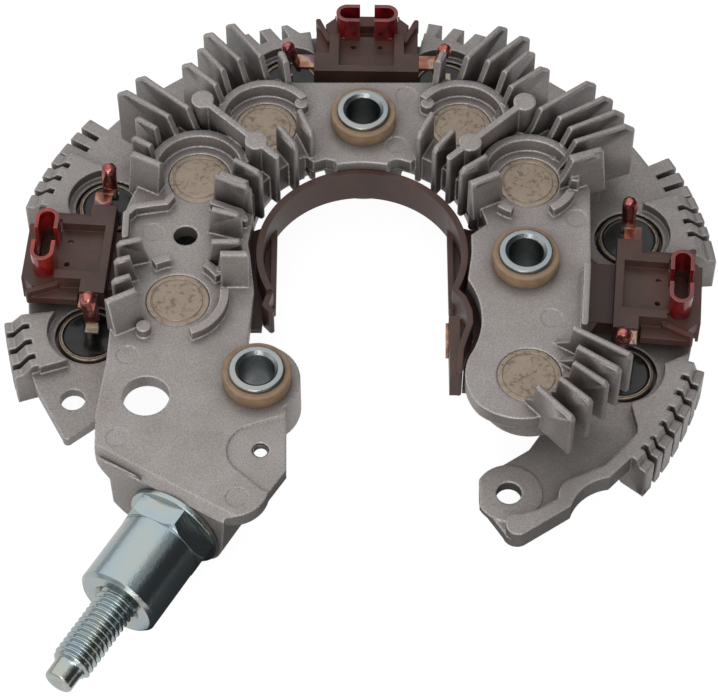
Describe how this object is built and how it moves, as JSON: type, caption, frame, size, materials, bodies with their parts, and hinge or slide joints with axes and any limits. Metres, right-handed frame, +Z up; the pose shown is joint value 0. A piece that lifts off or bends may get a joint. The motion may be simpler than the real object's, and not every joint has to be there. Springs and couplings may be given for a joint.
{
  "type": "alternator rectifier",
  "caption": "Horseshoe diode rectifier with two finned cast heat sinks, press-fit diodes, a brown terminal block with wire clips and a B+ output stud.",
  "frame": {"origin": "on the rotor axis, level with the feet of the outer teeth, which are the lowest faces", "axes": "+Z up from the feet to the fins along the rotor axis, +Y from the open side of the horseshoe to its closed side, +X to the right seen from above"},
  "size_m": [0.1457, 0.1653, 0.0295],
  "materials": {
    "cast_aluminium": "bead blasted casting, fine grain",
    "cast_aluminium_lower": "bead blasted casting, fine grain, darker",
    "brown_moulding": "satin moulded plastic",
    "red_lacquered_copper": "glossy red lacquer over copper",
    "diode_nickel": "warm nickel plate",
    "black_potting": "glossy black resin",
    "copper_lead": "tinned copper with heat tint",
    "silicon": "polished chip",
    "zinc_sleeve": "bright zinc plate",
    "zinc_steel": "bright zinc plate",
    "tan_bush": "satin resin, slightly clear"
  },
  "bodies": {
    "root": {"b_plus_stud": "zinc_steel", "flange_washer": "zinc_steel", "insulator_bush_left": "tan_bush", "insulator_bush_right": "tan_bush", "insulator_bush_top": "tan_bush", "negative_diode_1_cup": "diode_nickel", "negative_diode_1_lead": "copper_lead", "negative_diode_1_potting": "black_potting", "negative_diode_2_cup": "diode_nickel", "negative_diode_2_lead": "copper_lead", "negative_diode_2_potting": "black_potting", "negative_diode_3_cup": "diode_nickel", "negative_diode_3_lead": "copper_lead", "negative_diode_3_potting": "black_potting", "negative_diode_4_cup": "diode_nickel", "negative_diode_4_lead": "copper_lead", "negative_diode_4_potting": "black_potting", "negative_diode_5_cup": "diode_nickel", "negative_diode_5_lead": "copper_lead", "negative_diode_5_potting": "black_potting", "negative_diode_6_cup": "diode_nickel", "negative_diode_6_lead": "copper_lead", "negative_diode_6_potting": "black_potting", "negative_diode_chips": "silicon", "negative_heat_sink": "cast_aluminium_lower", "phase_terminal_1": "red_lacquered_copper", "phase_terminal_2": "red_lacquered_copper", "phase_terminal_3": "red_lacquered_copper", "phase_terminal_4": "red_lacquered_copper", "phase_terminal_5": "red_lacquered_copper", "phase_terminal_6": "red_lacquered_copper", "positive_diode_1_cup": "diode_nickel", "positive_diode_1_lead": "copper_lead", "positive_diode_1_potting": "black_potting", "positive_diode_2_cup": "diode_nickel", "positive_diode_2_lead": "copper_lead", "positive_diode_2_potting": "black_potting", "positive_diode_3_cup": "diode_nickel", "positive_diode_3_lead": "copper_lead", "positive_diode_3_potting": "black_potting", "positive_diode_4_cup": "diode_nickel", "positive_diode_4_lead": "copper_lead", "positive_diode_4_potting": "black_potting", "positive_diode_5_cup": "diode_nickel", "positive_diode_5_lead": "copper_lead", "positive_diode_5_potting": "black_potting", "positive_diode_6_cup": "diode_nickel", "positive_diode_6_lead": "copper_lead", "positive_diode_6_potting": "black_potting", "positive_diode_chips": "silicon", "positive_heat_sink": "cast_aluminium", "regulator_terminal": "red_lacquered_copper", "rivet_sleeve_left": "zinc_sleeve", "rivet_sleeve_right": "zinc_sleeve", "rivet_sleeve_top": "zinc_sleeve", "slip_ring_shroud": "brown_moulding", "spacer_nut": "zinc_steel", "terminal_block": "brown_moulding"}
  },
  "joints": []
}
